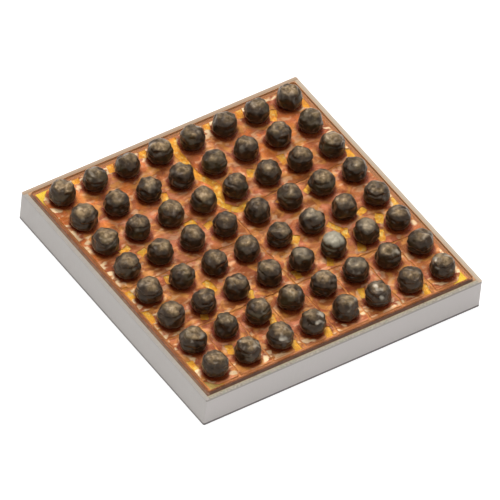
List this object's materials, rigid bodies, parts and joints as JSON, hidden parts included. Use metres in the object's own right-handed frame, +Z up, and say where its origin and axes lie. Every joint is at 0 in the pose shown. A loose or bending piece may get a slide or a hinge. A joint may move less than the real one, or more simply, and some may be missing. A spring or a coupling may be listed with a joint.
{
  "type": "wafer-level ball grid chip",
  "caption": "Bare square silicon chip lying on its back, with a full grid of solder balls over copper traces under clear amber film.",
  "frame": {"origin": "centre of the flat back face, which the chip lies on", "axes": "+Z up, out of the ball side; +X and +Y along the sawn edges, with the winding channel in the copper at the +Y edge"},
  "size_m": [0.0034, 0.0034, 0.0006],
  "materials": {
    "silicon": "sawn silicon, pale grey and matt",
    "back_film": "dark cured film, matt",
    "chip_metal": "thin metal, gold-coloured through the film",
    "copper": "plated copper, orange through the film",
    "polymer": "clear amber film, glossy",
    "solder": "tin alloy solder, dull and darkened"
  },
  "bodies": {
    "root": {"backside_coating": "back_film", "silicon_die": "silicon", "chip_pads": "chip_metal", "chip_top_metal": "chip_metal", "seal_ring": "chip_metal", "lower_polymer": "polymer", "copper_pour_back_left": "copper", "copper_pour_back_right": "copper", "copper_pour_middle_left": "copper", "copper_pour_middle_right": "copper", "copper_strips": "copper", "upper_polymer": "polymer", "ubm_pads_row_a": "copper", "solder_balls_row_a": "solder", "ubm_pads_row_b": "copper", "solder_balls_row_b": "solder", "ubm_pads_row_c": "copper", "solder_balls_row_c": "solder", "ubm_pads_row_d": "copper", "solder_balls_row_d": "solder", "ubm_pads_row_e": "copper", "solder_balls_row_e": "solder", "ubm_pads_row_f": "copper", "solder_balls_row_f": "solder", "ubm_pads_row_g": "copper", "solder_balls_row_g": "solder", "ubm_pads_row_h": "copper", "solder_balls_row_h": "solder"}
  },
  "joints": []
}
